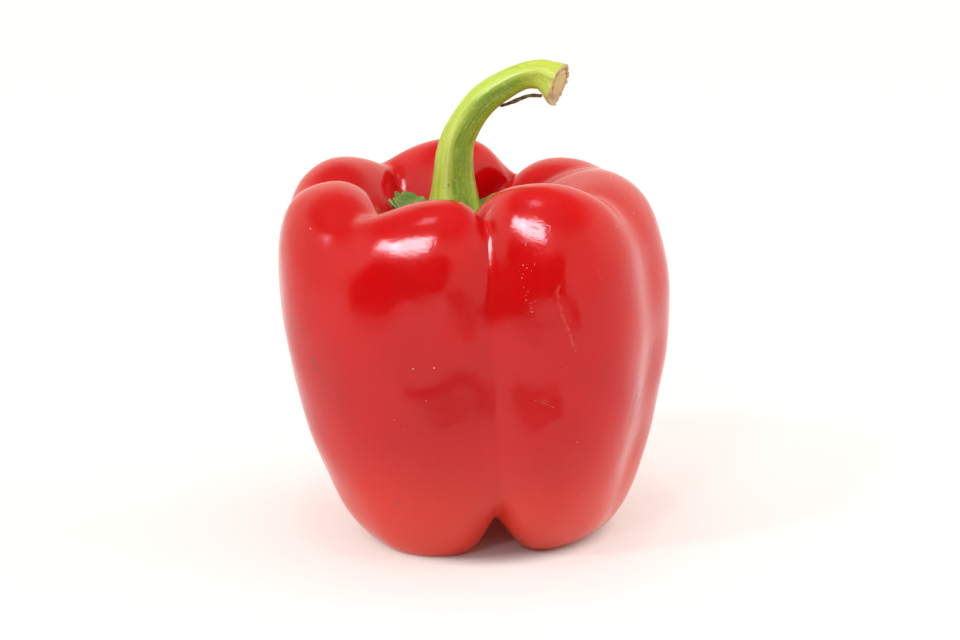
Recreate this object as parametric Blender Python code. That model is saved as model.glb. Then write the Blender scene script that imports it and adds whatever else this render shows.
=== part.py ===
"""A bell pepper standing on its lobes: fruit, calyx, curved stalk and a dried sliver of its skin."""
import bmesh
import bpy
import numpy as np

MM = 0.001
GAP = 0.4               # clearance between neighbouring pieces, mm

# The outline of a lobe from the stalk cavity over the crest to the blossom end: radius and height in mm.
OUTLINE = {
    "floor": (0.0, 70.0),
    "floor_edge": (7.5, 70.0),
    "wall": (14.0, 74.0),
    "inner": (19.5, 85.0),
    "crest": (30.0, 89.0),
    "shoulder": (42.5, 84.0),
    "belly": (46.5, 66.0),
    "side": (44.0, 42.0),
    "heel": (37.0, 18.0),
    "toe": (31.0, 1.0),
    "foot": (21.0, -3.5),
    "sole": (10.0, 3.0),
    "blossom_end": (0.0, 9.0),
}

# How strongly each outline point follows a lobe's own measures, in the order of OUTLINE.
SHARES = {
    "crest": (0, 0, 0.4, 0.9, 1, 0.5, 0, 0, 0, 0, 0, 0, 0),
    "rise": (0, 0, 0.1, 0.8, 1, 0.8, 0, 0, 0, 0, 0, 0, 0),
    "sag": (0, 0, 0, 0, 0, 0.4, 1, 0.7, 0.1, 0, 0, 0, 0),
    "shoulder": (0, 0, 0, 0, 0.2, 1, 0.5, 0, 0, 0, 0, 0, 0),
    "heel": (0, 0, 0, 0, 0, 0, 0, 0.5, 1, 0.6, 0.1, 0, 0),
    "foot": (0, 0, 0, 0, 0, 0, 0, 0, 0.1, 0.6, 1, 0.5, 0),
}

# Each lobe: its bearing in degrees and its departures from the outline in mm.
LOBES = (
    {"at": -114, "crest": 0, "rise": -4.4, "sag": -4.5, "shoulder": -1, "heel": 0, "foot": 3},
    {"at": -165, "crest": 2, "rise": -3.6, "sag": 0, "shoulder": 1, "heel": 0.9, "foot": -3},
    {"at": 160, "crest": 4, "rise": -3.4, "sag": 0, "shoulder": 0.2, "heel": -0.7, "foot": 0},
    {"at": 98, "crest": 0, "rise": -0.5, "sag": 0, "shoulder": 0, "heel": 0, "foot": 0},
    {"at": 48, "crest": 1, "rise": -5.2, "sag": -2, "shoulder": -1, "heel": 1, "foot": 0},
    {"at": 4, "crest": 0, "rise": -5.6, "sag": -3, "shoulder": -3, "heel": 2.6, "foot": 5.5},
    {"at": -66, "crest": 0, "rise": -1.2, "sag": -5, "shoulder": -1, "heel": 1.5, "foot": -0.5},
)
LOBE_FOCUS = 8.0        # how tightly a lobe's measures keep to its bearing

# The swellings that make the plan section at the belly: centre x, centre y and radius in mm.
SWELLINGS = (
    (-12.0, -7.5, 31.5),
    (15.0, -14.5, 24.0),
    (20.5, 2.0, 24.5),
    (17.5, 13.0, 24.0),
    (2.0, 16.0, 22.0),
    (-18.4, 10.0, 25.5),
)
SECTION_RADIUS = 45.0
SWELLING_BLEND = 0.5

# The furrows: bearings at the crest and at the foot in degrees, depth in mm and width in degrees
# at the top, the side and the bottom, and how rounded the furrow's floor is in degrees.
FURROWS = (
    {"top": -93, "foot": -71, "depth": (6.5, 0.6, 12.5), "width": (7, 8, 7.5), "rounding": 2.5},
    {"top": -136, "foot": -140, "depth": (5.5, 0.4, 1), "width": (13, 16, 14), "rounding": 5},
    {"top": 176, "foot": 170, "depth": (5, 1, 5), "width": (10, 16, 12), "rounding": 4},
    {"top": 132, "foot": 125, "depth": (6, 1, 5), "width": (9, 16, 12), "rounding": 4},
    {"top": 69, "foot": 73, "depth": (9, 1, 5), "width": (7, 16, 12), "rounding": 4},
    {"top": 33, "foot": 27, "depth": (1.4, 0.4, 2), "width": (6, 14, 10), "rounding": 5},
    {"top": -27, "foot": -25, "depth": (3, 0.8, 0.8), "width": (12, 11, 12), "rounding": 9},
)
NARROWEST_FURROW = 4.0
# Where each furrow zone begins and is full, counted in outline points from the cavity floor.
TOP_ZONE = (0.8, 2.6)
SIDE_ZONE = (3.8, 6.4)
FOOT_ZONE = (7.6, 10.0)
FURROWS_FADE = (10.5, 12.0)
SEAT_X = -4.4           # the stalk cavity leans to one side of the fruit
SEAT_Y = 0.5
SEAT_FADES = (1.5, 4.0)
DIFFERENCE_STEP = 0.002
FRUIT_COLUMNS = 90
FRUIT_ROWS = 45

CALYX_REACH = 1.8       # how far out over the cavity floor the calyx lies, in outline points
CALYX_TOOTH = 0.42
CALYX_TEETH = 7
CALYX_TOOTH_TURN = 0.6
CALYX_TOOTH_POINT = 1.6
CALYX_UNEVEN = 0.35
CALYX_THICK = 2.6
CALYX_EDGE = 0.6
CALYX_TAPER = 0.8
CALYX_COLUMNS = 56
CALYX_ROWS = 6

# The stalk's centreline from the calyx to the cut: x, y, z and radius in mm.
STALK = (
    (-4.4, 0.5, 73.5, 6.6),
    (-4.4, 0.5, 77.0, 5.6),
    (-4.5, 0.5, 82.0, 4.65),
    (-4.3, 0.5, 86.8, 4.2),
    (-3.4, 0.5, 90.9, 3.85),
    (-1.0, 0.3, 95.5, 3.55),
    (2.0, 0.0, 99.4, 3.45),
    (6.3, -0.8, 102.7, 3.2),
    (10.8, -2.4, 105.2, 2.95),
    (14.4, -4.2, 106.0, 3.25),
    (16.2, -5.2, 104.9, 4.2),
    (18.0, -6.15, 104.3, 4.8),
)
STALK_RIBS = 5
STALK_RIB_SHARE = 0.045
STALK_TWIST = 0.9
STALK_COLUMNS = 30
STALK_ROWS = 34
# The dried cut: share of the radius and height above the cut in mm, from the rim to the pith.
CUT_RINGS = ((0.93, 0.12), (0.72, -0.1), (0.62, -0.5), (0.52, -0.05), (0.25, 0.12))
PITH_HEIGHT = 0.15

# The sliver's centreline: x, y, z, half thickness and half width in mm.
SLIVER = (
    (14.2, -2.4, 100.95, 0.26, 0.5),
    (12.1, -1.5, 100.6, 0.32, 0.62),
    (8.8, 0.4, 99.3, 0.32, 0.66),
    (6.6, 2.2, 98.3, 0.26, 0.54),
    (5.2, 3.4, 97.7, 0.12, 0.25),
)
SLIVER_COLUMNS = 10
SLIVER_ROWS = 14
SLIVER_TIP = 0.05


def clear_scene():
    for item in list(bpy.data.objects):
        bpy.data.objects.remove(item)


def ramp(value, limits):
    """A smooth rise from 0 at the first limit to 1 at the second."""
    start, full = limits
    held = np.clip((value - start) / (full - start), 0, 1)
    return held * held * (3 - 2 * held)


def spline_at(points, steps):
    """A uniform cubic B-spline through the rows of points, which carry one extra row at either end."""
    start = np.clip(np.floor(steps).astype(int), 0, len(points) - 4)
    part = (steps - start).reshape(-1, *([1] * (points.ndim - 1)))
    weights = (
        (1 - part) ** 3 / 6,
        (3 * part**3 - 6 * part**2 + 4) / 6,
        (-3 * part**3 + 3 * part**2 + 3 * part + 1) / 6,
        part**3 / 6,
    )
    return sum(weight * points[start + n] for n, weight in enumerate(weights))


def curve_at(points, count):
    """A Catmull-Rom curve through every row of points, at evenly spaced steps."""
    rows = np.array(points, dtype=float)
    padded = np.vstack([2 * rows[0] - rows[1], rows, 2 * rows[-1] - rows[-2]])
    steps = np.linspace(0, len(rows) - 1, count)
    start = np.clip(np.floor(steps).astype(int), 0, len(rows) - 2)
    part = (steps - start)[:, None]
    before, here, there, after = (padded[start + n] for n in range(4))
    bend = 2 * before - 5 * here + 4 * there - after
    cubic = 3 * (here - there) + after - before
    return here + 0.5 * part * (there - before + part * (bend + part * cubic))


def plan_section(bearing):
    """The plan radius at the belly: a soft maximum over the swellings."""
    total = 0
    for x, y, radius in SWELLINGS:
        offset = np.hypot(x, y)
        turn = bearing - np.arctan2(y, x)
        reach = offset * np.cos(turn) + np.sqrt(radius**2 - (offset * np.sin(turn)) ** 2)
        total = total + np.exp(SWELLING_BLEND * (reach - SECTION_RADIUS))
    return SECTION_RADIUS + np.log(total) / SWELLING_BLEND


def lobe_outline(bearing, steps):
    """Radius and height of the fruit before its furrows, one row for each step."""
    at = np.radians([lobe["at"] for lobe in LOBES])
    pull = np.exp(LOBE_FOCUS * (np.cos(bearing[:, None] - at) - 1))
    pull = pull / pull.sum(axis=1, keepdims=True)
    own = {key: pull @ np.array([lobe[key] for lobe in LOBES], dtype=float) for key in SHARES}
    radius, height = np.array(list(OUTLINE.values())).T
    added = {key: np.outer(SHARES[key], own[key]) for key in SHARES}
    across = radius[:, None] + added["crest"] + added["shoulder"] + added["heel"] + added["foot"]
    across = across * plan_section(bearing) / SECTION_RADIUS
    up = height[:, None] + added["rise"] + added["sag"]
    across = np.vstack([-across[1], across, -across[-2]])
    up = np.vstack([up[1], up, up[-2]])
    return spline_at(across, steps), spline_at(up, steps)


def furrow_depth(bearing, steps):
    """How deep the furrows press into the fruit, in mm."""
    top = ramp(steps, TOP_ZONE) * (1 - ramp(steps, SIDE_ZONE))
    side = ramp(steps, SIDE_ZONE) * (1 - ramp(steps, FOOT_ZONE))
    foot = ramp(steps, FOOT_ZONE) * (1 - ramp(steps, FURROWS_FADE))
    zones = np.stack([top, side, foot])
    share = steps / (len(OUTLINE) - 1)
    total = np.zeros((len(steps), len(bearing)))
    for furrow in FURROWS:
        line = np.radians(furrow["top"] * (1 - share) + furrow["foot"] * share)
        away = np.degrees(np.abs((bearing[None] - line[:, None] + np.pi) % (2 * np.pi) - np.pi))
        depth = np.array(furrow["depth"]) @ zones
        width = np.array(furrow["width"]) @ zones / np.maximum(zones.sum(axis=0), 0.001)
        width = np.maximum(width, NARROWEST_FURROW)
        rounded = np.hypot(away, furrow["rounding"]) - furrow["rounding"]
        total += depth[:, None] * np.exp(-rounded / width[:, None])
    return total


def fruit_surface(bearing, steps, furrowed=1):
    """Points of the fruit's skin in mm: a row for each step along the outline, a column a bearing."""
    last = len(OUTLINE) - 1
    across, up = lobe_outline(bearing, steps)
    across_after, up_after = lobe_outline(bearing, np.clip(steps + DIFFERENCE_STEP, 0, last))
    across_before, up_before = lobe_outline(bearing, np.clip(steps - DIFFERENCE_STEP, 0, last))
    run = across_after - across_before
    fall = up_after - up_before
    length = np.hypot(run, fall)
    depth = furrowed * furrow_depth(bearing, steps)
    across = np.maximum(across + depth * fall / length, 0)
    up = np.maximum(up - depth * run / length, 0)
    lean = 1 - ramp(steps, SEAT_FADES)[:, None]
    x = across * np.cos(bearing) + SEAT_X * lean
    y = across * np.sin(bearing) + SEAT_Y * lean
    return np.stack([x, y, up], axis=-1)


def cavity_point(bearing, step):
    """A point of the cavity without its furrows and the unit normal there, by central differences."""
    near = np.array([-DIFFERENCE_STEP, 0, DIFFERENCE_STEP])
    skin = fruit_surface(bearing + near, step + near, 0)
    normal = np.cross(skin[2, 1] - skin[0, 1], skin[1, 2] - skin[1, 0])
    return skin[1, 1], normal / np.linalg.norm(normal)


def closed_grid(start, rings, end):
    """Vertices and faces of a body: a point, rings that run anticlockwise seen from it, a point."""
    rows, columns = rings.shape[:2]
    points = np.vstack([[start], rings.reshape(-1, 3), [end]])
    turn = np.arange(columns)
    after = (turn + 1) % columns
    faces = [(0, 1 + a, 1 + b) for a, b in zip(turn, after)]
    for row in range(rows - 1):
        here = 1 + row * columns
        below = here + columns
        faces += [(here + a, below + a, below + b, here + b) for a, b in zip(turn, after)]
    here = 1 + (rows - 1) * columns
    faces += [(here + a, len(points) - 1, here + b) for a, b in zip(turn, after)]
    return points, faces


def fruit_body():
    bearing = np.linspace(-np.pi, np.pi, FRUIT_COLUMNS, endpoint=False)
    steps = np.linspace(0, len(OUTLINE) - 1, FRUIT_ROWS + 1)
    skin = fruit_surface(bearing, steps)
    return closed_grid(skin[0].mean(axis=0), skin[1:-1], skin[-1].mean(axis=0))


def calyx_body():
    """A toothed cap that follows the cavity floor at a small distance."""
    bearing = np.linspace(-np.pi, np.pi, CALYX_COLUMNS, endpoint=False)
    tooth = np.abs(np.cos(CALYX_TEETH * bearing / 2 + CALYX_TOOTH_TURN)) ** CALYX_TOOTH_POINT
    reach = CALYX_REACH + CALYX_TOOTH * tooth * (1 + CALYX_UNEVEN * np.sin(2 * bearing + 1))
    shares = np.linspace(0, 1, CALYX_ROWS + 1)[1:]
    under = []
    over = []
    for share in shares:
        floor = np.zeros((CALYX_COLUMNS, 3))
        normal = np.zeros((CALYX_COLUMNS, 3))
        for column, angle in enumerate(bearing):
            floor[column], normal[column] = cavity_point(angle, reach[column] * share)
        thick = CALYX_EDGE + (CALYX_THICK - CALYX_EDGE) * (1 - share) ** CALYX_TAPER
        under.append(floor + normal * GAP)
        over.append(floor + normal * (GAP + thick))
    middle = np.array([SEAT_X, SEAT_Y, fruit_surface(np.array([0.0]), np.array([0.0]))[0, 0, 2]])
    rings = np.array(over + under[::-1])
    return closed_grid(middle + [0, 0, GAP + CALYX_THICK], rings, middle + [0, 0, GAP])


def sweep_frames(centres):
    """Side and up directions across a centreline that stays near the x-z plane."""
    along = np.gradient(centres, axis=0)
    along = along / np.linalg.norm(along, axis=1, keepdims=True)
    side = np.cross(along, [0.0, 1.0, 0.0])
    side = side / np.linalg.norm(side, axis=1, keepdims=True)
    return along, side, np.cross(along, side)


def stalk_body():
    """A ribbed tube from the calyx to the dried cut, whose relief steps in to the pith."""
    curve = curve_at(STALK, STALK_ROWS)
    along, side, back = sweep_frames(curve[:, :3])
    along[0] = (0, 0, 1)
    side[0] = (-1, 0, 0)
    back[0] = np.cross(along[0], side[0])
    turn = np.linspace(0, 2 * np.pi, STALK_COLUMNS, endpoint=False)
    share = np.linspace(0, 1, STALK_ROWS)[:, None]
    ribs = 1 + STALK_RIB_SHARE * np.cos(STALK_RIBS * turn + STALK_TWIST * share)
    reach = curve[:, 3:4] * ribs
    out = side[:, None] * np.cos(turn)[:, None] + back[:, None] * np.sin(turn)[:, None]
    rings = list(curve[:, None, :3] + reach[..., None] * out)
    tip = curve[-1, :3]
    for inset, height in CUT_RINGS:
        rings.append(tip + (rings[STALK_ROWS - 1] - tip) * inset + along[-1] * height)
    rings = np.array(rings)[::-1]
    return closed_grid(tip + along[-1] * PITH_HEIGHT, rings[:, ::-1], curve[0, :3])


def sliver_body():
    """A thin dried strip of skin that hangs under the stalk."""
    curve = curve_at(SLIVER, SLIVER_ROWS)
    along, side, back = sweep_frames(curve[:, :3])
    turn = np.linspace(0, 2 * np.pi, SLIVER_COLUMNS, endpoint=False)
    thin = side[:, None] * np.cos(turn)[:, None] * curve[:, 3:4, None]
    wide = back[:, None] * np.sin(turn)[:, None] * curve[:, 4:5, None]
    rings = curve[:, None, :3] + thin + wide
    start = curve[0, :3] - along[0] * SLIVER_TIP
    return closed_grid(start, rings, curve[-1, :3] + along[-1] * SLIVER_TIP)


def material(name, colour, roughness):
    made = bpy.data.materials.new(name)
    made.use_nodes = True
    shader = made.node_tree.nodes["Principled BSDF"]
    shader.inputs["Base Color"].default_value = (*colour, 1)
    shader.inputs["Roughness"].default_value = roughness
    return made


def add_piece(name, points, faces, colour, roughness):
    mesh = bpy.data.meshes.new(name)
    mesh.from_pydata((points * MM).tolist(), [], faces)
    shape = bmesh.new()
    shape.from_mesh(mesh)
    bmesh.ops.triangulate(shape, faces=shape.faces)
    bmesh.ops.recalc_face_normals(shape, faces=shape.faces)
    shape.to_mesh(mesh)
    shape.free()
    mesh.shade_smooth()
    mesh.materials.append(material(name, colour, roughness))
    piece = bpy.data.objects.new(name, mesh)
    bpy.context.scene.collection.objects.link(piece)


def main():
    clear_scene()
    pieces = {
        "fruit": (fruit_body(), (0.58, 0.005, 0.012), 0.15),
        "calyx": (calyx_body(), (0.09, 0.2, 0.03), 0.5),
        "stalk": (stalk_body(), (0.28, 0.42, 0.05), 0.4),
        "peeled_strip": (sliver_body(), (0.16, 0.13, 0.05), 0.8),
    }
    every = np.vstack([body[0] for body, _, _ in pieces.values()])
    middle = (every.min(axis=0) + every.max(axis=0)) / 2
    middle[2] = every[:, 2].min()
    for name, ((points, faces), colour, roughness) in pieces.items():
        add_piece(name, points - middle, faces, colour, roughness)


main()
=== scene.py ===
import math

import bpy
import numpy as np
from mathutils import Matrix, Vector


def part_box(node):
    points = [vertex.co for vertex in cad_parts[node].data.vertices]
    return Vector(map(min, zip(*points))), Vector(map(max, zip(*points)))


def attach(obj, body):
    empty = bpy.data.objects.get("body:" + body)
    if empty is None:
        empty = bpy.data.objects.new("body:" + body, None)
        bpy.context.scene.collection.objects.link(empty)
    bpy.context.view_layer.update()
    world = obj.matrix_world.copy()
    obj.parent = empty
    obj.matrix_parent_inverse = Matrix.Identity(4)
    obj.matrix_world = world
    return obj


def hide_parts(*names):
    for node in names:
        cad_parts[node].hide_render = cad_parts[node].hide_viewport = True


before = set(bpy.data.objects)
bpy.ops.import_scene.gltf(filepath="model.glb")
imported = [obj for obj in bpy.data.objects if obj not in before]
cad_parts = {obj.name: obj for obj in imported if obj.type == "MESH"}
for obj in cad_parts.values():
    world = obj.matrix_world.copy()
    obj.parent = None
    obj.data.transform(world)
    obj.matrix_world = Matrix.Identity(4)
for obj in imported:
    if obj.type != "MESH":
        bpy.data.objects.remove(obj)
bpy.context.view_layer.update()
mm = 0.001
print("frame loaded")


def linearColour(hexText):
    # sRGB hex to linear: below 0.04045 divide by 12.92, else ((c + 0.055) / 1.055) to the power 2.4
    parts = [int(hexText[i:i + 2], 16) / 255 for i in (1, 3, 5)]
    return [c / 12.92 if c <= 0.04045 else ((c + 0.055) / 1.055) ** 2.4 for c in parts] + [1]


def setInputs(node, values):
    # the values of a node's sockets, by their names or numbers
    for key, value in values.items():
        node.inputs[key].default_value = value


def addNode(tree, kind, settings=None, values=None, links=None):
    # adds a shader node and returns its outputs: settings are its attributes or only its operation's name,
    # values its socket defaults, links the outputs that feed its sockets
    node = tree.nodes.new("ShaderNode" + kind)
    if isinstance(settings, str):
        settings = {"operation": settings}
    for key, value in (settings or {}).items():
        setattr(node, key, value)
    setInputs(node, values or {})
    for key, output in (links or {}).items():
        tree.links.new(output, node.inputs[key])
    return node.outputs


smooth = {"interpolation_type": "SMOOTHSTEP"}       # settings of a map range without corners


def newMaterial(name):
    # a material, its node tree and the shader in it
    material = bpy.data.materials.new(name)
    material.use_nodes = True
    tree = material.node_tree
    return material, tree, tree.nodes["Principled BSDF"]


def fillRamp(outputs, stops):
    # stops are (position, sRGB hex)
    ramp = outputs[0].node.color_ramp
    while len(ramp.elements) > 1:
        ramp.elements.remove(ramp.elements[-1])
    ramp.elements[0].position = stops[0][0]
    ramp.elements[0].color = linearColour(stops[0][1])
    for position, colour in stops[1:]:
        ramp.elements.new(position).color = linearColour(colour)


def rampUp(value, limits):
    # smooth rise from 0 at the first limit to 1 at the second: 3 t^2 - 2 t^3
    t = np.clip((value - limits[0]) / (limits[1] - limits[0]), 0, 1)
    return t * t * (3 - 2 * t)


def unevenness(points, size, seed):
    # gentle lumps: a sum of nine sine waves of about the given wavelength in seeded random directions
    draw = np.random.default_rng(seed)
    total = np.zeros(points.shape[:-1])
    for _ in range(9):
        direction = draw.normal(size=3)
        direction *= 2 * math.pi / (size * draw.uniform(0.7, 1.5) * np.linalg.norm(direction))
        total += np.sin(points @ direction + draw.uniform(0, 2 * math.pi))
    return total / 3


def makePiece(name, start, rings, end, nodes):
    # a closed body: a pole, rings of points that run anticlockwise seen from outside above it, a pole
    rows, columns = rings.shape[:2]
    points = np.vstack([[start], rings.reshape(-1, 3), [end]]) * mm
    index = 1 + np.arange(rows * columns).reshape(rows, columns)
    after = np.roll(index, -1, axis=1)
    quads = np.stack([index[:-1], index[1:], after[1:], after[:-1]], axis=-1).reshape(-1, 4)
    top = np.stack([np.zeros(columns, int), index[0], after[0]], axis=-1)
    bottom = np.stack([index[-1], np.full(columns, len(points) - 1), after[-1]], axis=-1)
    mesh = bpy.data.meshes.new(name)
    mesh.from_pydata(points.tolist(), [], top.tolist() + quads.tolist() + bottom.tolist())
    mesh.shade_smooth()
    piece = bpy.data.objects.new(name, mesh)
    bpy.context.scene.collection.objects.link(piece)
    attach(piece, "root")
    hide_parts(*nodes)
    return piece


def storeAttribute(piece, name, values):
    # one vector for each vertex, in the order of the points
    attribute = piece.data.attributes.new(name, "FLOAT_VECTOR", "POINT")
    attribute.data.foreach_set("vector", np.ascontiguousarray(values, dtype=np.float32).ravel())


fruitLook = {
    # outline of a lobe from the stalk cavity over the crest to the blossom end: radius, height in mm
    "outline": [(0, 70), (7.5, 70), (14, 74), (19.5, 85), (30, 89), (42.5, 84), (46.5, 66), (44, 42),
                (37, 18), (31, 1), (21, -3.5), (10, 3), (0, 9)],
    # how strongly each outline point follows a lobe's own measures
    "shares": {
        "crest": (0, 0, 0.4, 0.9, 1, 0.5, 0, 0, 0, 0, 0, 0, 0),
        "rise": (0, 0, 0.1, 0.8, 1, 0.8, 0, 0, 0, 0, 0, 0, 0),
        "sag": (0, 0, 0, 0, 0, 0.4, 1, 0.7, 0.1, 0, 0, 0, 0),
        "shoulder": (0, 0, 0, 0, 0.2, 1, 0.5, 0, 0, 0, 0, 0, 0),
        "heel": (0, 0, 0, 0, 0, 0, 0, 0.5, 1, 0.6, 0.1, 0, 0),
        "foot": (0, 0, 0, 0, 0, 0, 0, 0, 0.1, 0.6, 1, 0.5, 0),
    },
    # bearing in degrees, then crest, rise, sag, shoulder, heel and foot in mm
    "lobes": [(-114, 0, -4.4, -4.5, -1, 0, 3), (-165, 2, -3.6, 0, 1, 0.9, -3),
              (160, 4, -3.4, 0, 0.2, -0.7, 0), (98, 0, -0.5, 0, 0, 0, 0), (48, 1, -5.2, -2, -1, 1, 0),
              (4, 0, -5.6, -3, -3, 2.6, 5.5), (-66, 0, -1.2, -5, -1, 1.5, -0.5)],
    "lobeFocus": 8,
    # swellings of the plan section: centre x, centre y, radius in mm
    "swellings": [(-12, -7.5, 31.5), (14.4, -13.7, 24.8), (20.5, 2, 24.5), (17.5, 13, 24), (2, 16, 22),
                  (-18.4, 10, 25.5)],
    "sectionRadius": 45, "swellingBlend": 0.5,
    # furrows: bearing at crest and foot, depth in mm and width in degrees at top, side and bottom, rounding
    "furrows": [(-93, -71, (6.5, 0.6, 12.5), (7, 8, 7.5), 2.5), (-136, -140, (5.5, 0.4, 1), (13, 16, 14), 5),
                (176, 170, (5, 1, 5), (10, 16, 12), 4), (132, 125, (6, 1, 5), (9, 16, 12), 4),
                (69, 73, (9, 1, 5), (7, 16, 12), 4), (33, 27, (1.4, 0.4, 2), (6, 14, 10), 9),
                (-27, -25, (3, 0.8, 0.8), (12, 11, 12), 9)],
    "narrowestFurrow": 4,
    # the zones of a furrow, in points of the outline
    "topZone": (0.8, 2.6), "sideZone": (3.8, 6.4), "footZone": (7.6, 10), "furrowsFade": (10.5, 12),
    "seat": (-4.4, 0.5), "seatFades": (1.5, 4),   # the cavity stands this far off the axis, in mm
    "columns": 400, "rows": 240, "frontCrowding": 0.4,
    "lumps": 0.16, "lumpSize": 17, "lumpSeed": 7,
    # the fine crease down the front: bearing at crest and foot, depth in mm, width and rounding in degrees
    "crease": (-93, -71, 0.45, 3.2, 0.9), "creaseZone": (2.6, 4), "creaseFade": (8, 9.6),
    "creaseBend": (3, 0.54, 0.13),    # degrees, share of the outline where it bends most, reach of the bend
    # shallow hollows and swells of the skin: bearing, height, half width, half height, rise in mm
    "swells": [(-101, 66, 6, 2.5, 0.1), (-79, 60.5, 6, 2.5, 0.1), (-131, 74, 6, 5, -0.25)],
    "swellZone": (4, 5),

    "red": "#AE0002", "deepRed": "#A90002", "warmRed": "#B40003",   # the flesh in soft clouds
    # painted reflection of the bright table: the skin paler and milkier towards the foot; heights in mm where
    # it starts and is full, colour, most share
    "paintedFootSheen": (34, 4, "#DA4A34", 0.45),
    # one pale colour serves the real dust specks and the painted glints on the flecks
    "scarColour": "#E87868", "dentShadeColour": "#8E0605", "markColour": "#54402E", "dustAndGlintColour": "#E8A898",
    "ior": 1.45, "roughness": (0.11, 0.22),     # where the wax is thick and where it is thin
    "scarDull": 0.4,        # roughness that scars and marks add
    "flesh": (0.08, 0.003, (1, 0.15, 0.1)),   # light inside: weight, reach in m, shares of red, green, blue
    "bloom": (0.03, 0.4, "#FFC4A8"),    # film on the wax: weight, roughness, tint
    # pattern sizes in mm; the wax's own cells are under 0.1, so its dimples are drawn coarser
    "cloudSize": 16.667, "glossSize": 7.1429, "rippleSize": 5.5556, "dimpleSize": 0.6, "scarBreaks": 1.4286,
    "scarLevels": (0.36, 0.56),     # noise levels where a scar starts to show and where it is full
    # relief: strength and height in m
    "dimples": (0.16, 0.0002), "ripples": (0.3, 0.0004), "raised": (1, 0.0005),
    "sunk": 0.15,       # depth of the dents as a share of the scars' height
    "waverSize": 2.2222, "waver": 0.9,      # strokes waver sideways by up to half of the waver, in mm
    "frontFrom": -8,      # strokes lie in front of this y, in mm
    # The strokes are seen straight from the front: start and end (x, z in mm), half width in mm, strength.
    # healed scratches
    "scars": [((17.9, 66.7), (17.5, 65.6), 0.5, 0.12), ((17.5, 65.6), (18.8, 60.5), 0.65, 0.16),
              ((18.8, 60.5), (21.2, 53.2), 0.55, 0.17), ((21.2, 53.2), (21.6, 52.2), 0.35, 0.3),
              ((14, 41.2), (17.2, 39.4), 0.16, 0.3), ((12.8, 42.2), (16, 40.9), 0.12, 0.3),
              ((26, 70), (27.4, 66.6), 0.14, 0.3), ((30.4, 77), (31.6, 75.4), 0.14, 0.3)],
    # little dents: sunk a little, their floor painted darker red as shade
    "dents": [((35.6, 37.9), (34, 30.9), 0.5, 0.6), ((12.2, 78.6), (13.6, 78.2), 0.2, 0.25),
              ((14.6, 79), (15.8, 78.6), 0.28, 0.3), ((12.6, 75.9), (14.4, 75.6), 0.14, 0.2)],
    # corky marks
    "marks": [((-35.4, 47.6), (-34.8, 46.4), 0.3, 0.9), ((-34.5, 45.8), (-34.2, 45.2), 0.24, 0.9),
              ((-17, 16.4), (-16.6, 14.6), 0.22, 0.8), ((-16.6, 14.6), (-15.9, 14.9), 0.2, 0.8)],
    # where tiny raised flecks crowd together; their pale colour is a painted glint on each
    "fleckLines": [((11, 75.4), (11.6, 73.6), 1.2, 1), ((11.2, 71.2), (12.6, 62), 2, 0.65)],
    "fleckCell": 0.46,          # mm between flecks where they are thickest
    "fleckReach": (0.44, -0.1),     # a fleck's reach in its cell: a random number * the first + the second
    "dustCell": 4.4, "dustSize": 0.2,   # mm between dust specks, size of the largest in mm
    "dustLeftOut": 0.35,        # share of the cells that stay clean
    "dustAndGlintCover": 0.62,         # how much a speck or fleck hides
}


def splineAt(points, steps):
    # uniform cubic B-spline along the first axis, with one extra point at either end
    start = np.clip(np.floor(steps).astype(int), 0, len(points) - 4)
    t = (steps - start).reshape(-1, *([1] * (points.ndim - 1)))
    weights = ((1 - t) ** 3 / 6, (3 * t**3 - 6 * t**2 + 4) / 6,
               (-3 * t**3 + 3 * t**2 + 3 * t + 1) / 6, t**3 / 6)
    return sum(weight * points[start + n] for n, weight in enumerate(weights))


def planSection(bearing):
    # soft maximum of circles seen from the axis: ln(sum of exp(k (reach - R))) / k + R
    f = fruitLook
    total = 0
    for x, y, radius in f["swellings"]:
        offset = math.hypot(x, y)
        turn = bearing - math.atan2(y, x)
        reach = offset * np.cos(turn) + np.sqrt(radius**2 - (offset * np.sin(turn)) ** 2)
        total = total + np.exp(f["swellingBlend"] * (reach - f["sectionRadius"]))
    return f["sectionRadius"] + np.log(total) / f["swellingBlend"]


def lobeOutline(bearing, steps):
    # radius and height before the furrows: the outline's points moved by the nearby lobes, then splined
    f = fruitLook
    lobes = np.array(f["lobes"], dtype=float)
    pull = np.exp(f["lobeFocus"] * (np.cos(bearing[:, None] - np.radians(lobes[:, 0])) - 1))
    own = (pull / pull.sum(axis=1, keepdims=True)) @ lobes[:, 1:]
    crest, rise, sag, shoulder, heel, foot = [np.outer(s, o) for s, o in zip(f["shares"].values(), own.T)]
    radius, height = np.array(f["outline"], dtype=float).T
    across = (radius[:, None] + crest + shoulder + heel + foot) * planSection(bearing) / f["sectionRadius"]
    up = height[:, None] + rise + sag
    across = np.vstack([-across[1], across, -across[-2]])
    up = np.vstack([up[1], up, up[-2]])
    return splineAt(across, steps), splineAt(up, steps)


def degreesFrom(line, bearing):
    # angle between each bearing and the line at each step, the short way round
    return np.degrees(np.abs((bearing[None] - line[:, None] + np.pi) % (2 * np.pi) - np.pi))


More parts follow.
